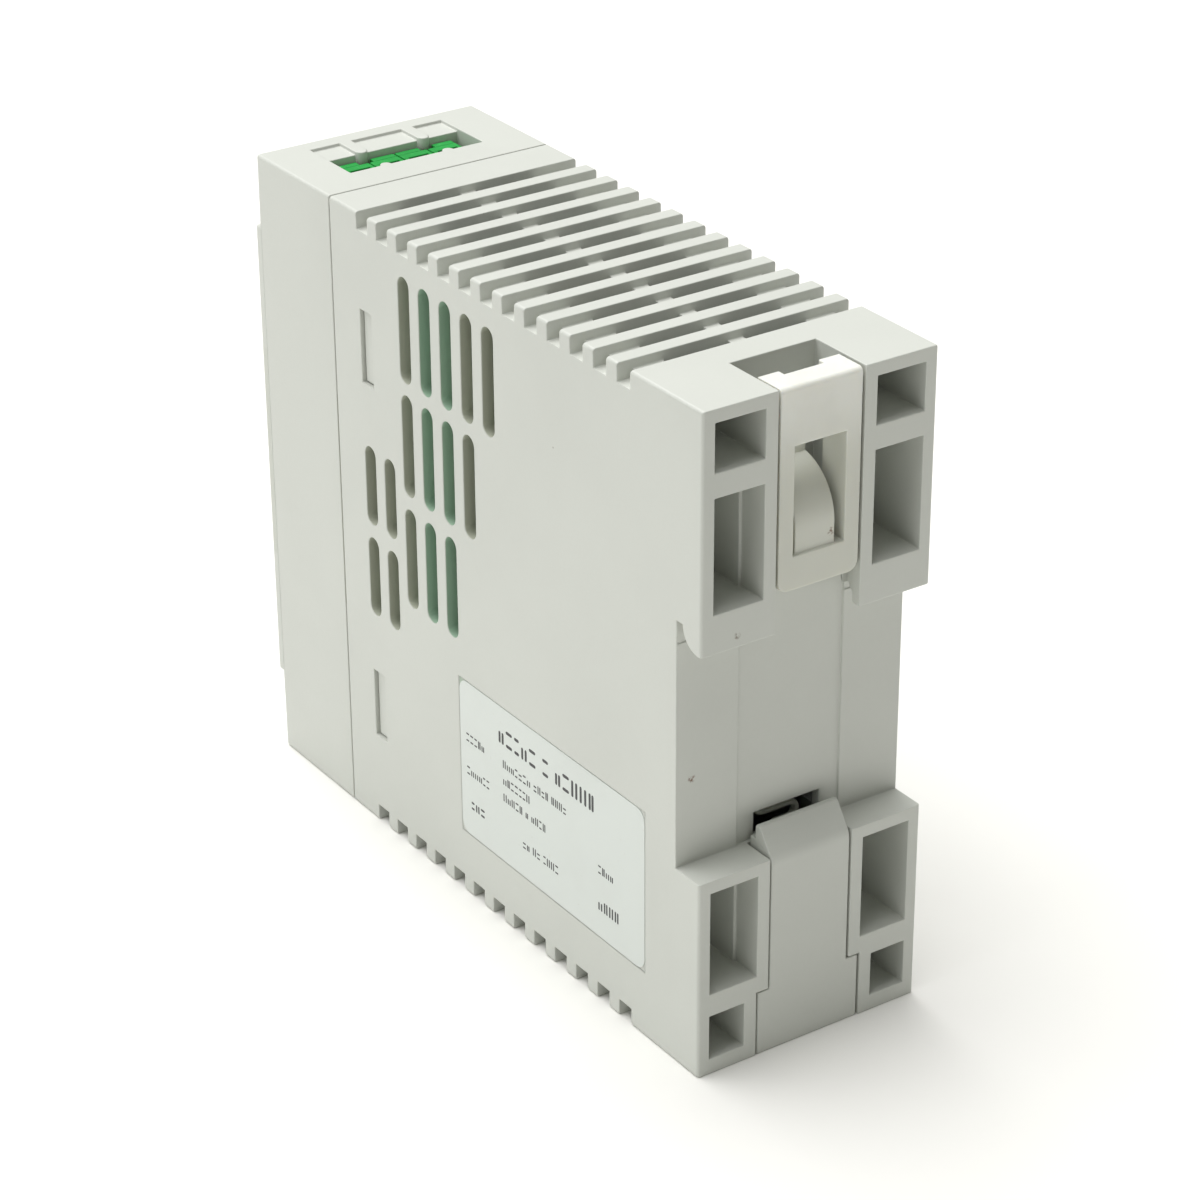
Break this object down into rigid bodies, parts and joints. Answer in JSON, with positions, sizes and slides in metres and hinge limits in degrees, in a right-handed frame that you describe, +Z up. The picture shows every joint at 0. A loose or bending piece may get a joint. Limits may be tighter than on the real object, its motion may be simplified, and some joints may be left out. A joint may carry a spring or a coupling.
{
  "type": "din rail power supply",
  "caption": "Narrow DIN rail switching power supply in a grey snap-together case with grilles, rail hooks, a press-to-release latch and a sprung rail foot.",
  "frame": {"origin": "centre of the footprint, on the bottom face", "axes": "+Y towards the rail, -Y the front panel, +Z up, +X across the width towards the side with the rating label"},
  "size_m": [0.038, 0.1156, 0.101],
  "materials": {
    "housing_grey": "fine satin texture",
    "latch_white": "translucent natural acetal",
    "label_white": "satin vinyl",
    "board_green": "solder mask over glass epoxy",
    "terminal_green": "moulded polyamide",
    "steel_plated": "zinc plated",
    "tinned_metal": "tinned",
    "clamp_brass": "nickel-flashed brass",
    "fuse_glass": "clear",
    "aluminium": "mill finish",
    "sleeve_black": "shrunk sleeve",
    "ferrite": "sintered",
    "copper_wire": "enamelled copper wire",
    "bobbin_black": "moulded phenolic",
    "tape_yellow": "polyester tape",
    "x_cap_yellow": "moulded box",
    "disc_blue": "epoxy coated",
    "disc_dark": "epoxy coated",
    "epoxy_black": "moulded epoxy",
    "resistor_tan": "lacquered",
    "pot_blue": "moulded",
    "rotor_white": "moulded",
    "led_green": "tinted epoxy lens",
    "light_pipe": "clear acrylic"
  },
  "bodies": {
    "case": {"board_link_pins": "tinned_metal", "bridge_rectifier": "epoxy_black", "bulk_capacitor": "aluminium", "bulk_capacitor_sleeve": "sleeve_black", "case_body": "housing_grey", "choke_core": "ferrite", "choke_windings": "copper_wire", "controller_chip": "epoxy_black", "foot_spring": "latch_white", "front_board": "board_green", "front_cover": "housing_grey", "front_label": "label_white", "fuse_caps": "tinned_metal", "fuse_clips": "tinned_metal", "fuse_tube": "fuse_glass", "heatsink_screws": "steel_plated", "input_terminal_block": "terminal_green", "input_terminal_contacts": "tinned_metal", "inrush_thermistor": "disc_dark", "light_pipe": "light_pipe", "main_board": "board_green", "optocoupler": "epoxy_black", "output_capacitor_sleeves": "sleeve_black", "output_capacitors": "aluminium", "output_choke_core": "ferrite", "output_choke_winding": "copper_wire", "output_diode": "epoxy_black", "output_terminal_block": "terminal_green", "output_terminal_contacts": "tinned_metal", "primary_heatsink": "aluminium", "rating_label": "label_white", "secondary_heatsink": "aluminium", "snubber_resistors": "resistor_tan", "solder_joints": "tinned_metal", "status_led": "led_green", "switching_transistor": "epoxy_black", "transformer_bobbin": "bobbin_black", "transformer_core": "ferrite", "transformer_winding": "tape_yellow", "trim_pot_body": "pot_blue", "varistor": "disc_blue", "x_capacitor": "x_cap_yellow", "y_capacitor": "disc_blue"},
    "latch": {"rail_latch": "latch_white"},
    "foot": {"rail_foot": "housing_grey"},
    "trim_rotor": {"trim_pot_rotor": "rotor_white"},
    "output_screw_1": {"output_screw_1": "steel_plated"},
    "output_clamp_1": {"output_clamp_1": "clamp_brass"},
    "output_screw_2": {"output_screw_2": "steel_plated"},
    "output_clamp_2": {"output_clamp_2": "clamp_brass"},
    "output_screw_3": {"output_screw_3": "steel_plated"},
    "output_clamp_3": {"output_clamp_3": "clamp_brass"},
    "output_screw_4": {"output_screw_4": "steel_plated"},
    "output_clamp_4": {"output_clamp_4": "clamp_brass"},
    "input_screw_1": {"input_screw_1": "steel_plated"},
    "input_clamp_1": {"input_clamp_1": "clamp_brass"},
    "input_screw_2": {"input_screw_2": "steel_plated"},
    "input_clamp_2": {"input_clamp_2": "clamp_brass"},
    "input_screw_3": {"input_screw_3": "steel_plated"},
    "input_clamp_3": {"input_clamp_3": "clamp_brass"}
  },
  "joints": [
    {"name": "latch_press", "type": "slide", "parent": "case", "child": "latch", "axis": [0, 0, -1], "range_m": [0, 0.003], "stiffness_N_per_m": 700, "springref_m": -0.002},
    {"name": "foot_release", "type": "slide", "parent": "case", "child": "foot", "axis": [0, 0, -1], "range_m": [0, 0.004], "stiffness_N_per_m": 1500, "springref_m": -0.003, "deforming": ["foot_spring"]},
    {"name": "trim_turn", "type": "hinge", "parent": "case", "child": "trim_rotor", "pos_m": [0.006, -0.05, 0.077], "axis": [0, 1, 0], "range_deg": [-135, 135]},
    {"name": "output_screw_1_turn", "type": "hinge", "parent": "case", "child": "output_screw_1", "pos_m": [-0.00762, -0.049, 0.0931], "axis": [0, 1, 0], "range_deg": [0, 1441]},
    {"name": "output_clamp_1_rise", "type": "slide", "parent": "case", "child": "output_clamp_1", "axis": [0, -1, 0], "range_m": [0, 0.002]},
    {"name": "output_screw_2_turn", "type": "hinge", "parent": "case", "child": "output_screw_2", "pos_m": [-0.00254, -0.049, 0.0931], "axis": [0, 1, 0], "range_deg": [0, 1441]},
    {"name": "output_clamp_2_rise", "type": "slide", "parent": "case", "child": "output_clamp_2", "axis": [0, -1, 0], "range_m": [0, 0.002]},
    {"name": "output_screw_3_turn", "type": "hinge", "parent": "case", "child": "output_screw_3", "pos_m": [0.00254, -0.049, 0.0931], "axis": [0, 1, 0], "range_deg": [0, 1441]},
    {"name": "output_clamp_3_rise", "type": "slide", "parent": "case", "child": "output_clamp_3", "axis": [0, -1, 0], "range_m": [0, 0.002]},
    {"name": "output_screw_4_turn", "type": "hinge", "parent": "case", "child": "output_screw_4", "pos_m": [0.00762, -0.049, 0.0931], "axis": [0, 1, 0], "range_deg": [0, 1441]},
    {"name": "output_clamp_4_rise", "type": "slide", "parent": "case", "child": "output_clamp_4", "axis": [0, -1, 0], "range_m": [0, 0.002]},
    {"name": "input_screw_1_turn", "type": "hinge", "parent": "case", "child": "input_screw_1", "pos_m": [-0.00762, -0.049, 0.0079], "axis": [0, 1, 0], "range_deg": [0, 1441]},
    {"name": "input_clamp_1_rise", "type": "slide", "parent": "case", "child": "input_clamp_1", "axis": [0, -1, 0], "range_m": [0, 0.002]},
    {"name": "input_screw_2_turn", "type": "hinge", "parent": "case", "child": "input_screw_2", "pos_m": [0, -0.049, 0.0079], "axis": [0, 1, 0], "range_deg": [0, 1441]},
    {"name": "input_clamp_2_rise", "type": "slide", "parent": "case", "child": "input_clamp_2", "axis": [0, -1, 0], "range_m": [0, 0.002]},
    {"name": "input_screw_3_turn", "type": "hinge", "parent": "case", "child": "input_screw_3", "pos_m": [0.00762, -0.049, 0.0079], "axis": [0, 1, 0], "range_deg": [0, 1441]},
    {"name": "input_clamp_3_rise", "type": "slide", "parent": "case", "child": "input_clamp_3", "axis": [0, -1, 0], "range_m": [0, 0.002]}
  ],
  "couplings": [
    {"joint": "output_screw_1_turn", "follows": "output_clamp_1_rise", "rad_per_m": 12566},
    {"joint": "output_screw_2_turn", "follows": "output_clamp_2_rise", "rad_per_m": 12566},
    {"joint": "output_screw_3_turn", "follows": "output_clamp_3_rise", "rad_per_m": 12566},
    {"joint": "output_screw_4_turn", "follows": "output_clamp_4_rise", "rad_per_m": 12566},
    {"joint": "input_screw_1_turn", "follows": "input_clamp_1_rise", "rad_per_m": 12566},
    {"joint": "input_screw_2_turn", "follows": "input_clamp_2_rise", "rad_per_m": 12566},
    {"joint": "input_screw_3_turn", "follows": "input_clamp_3_rise", "rad_per_m": 12566}
  ]
}
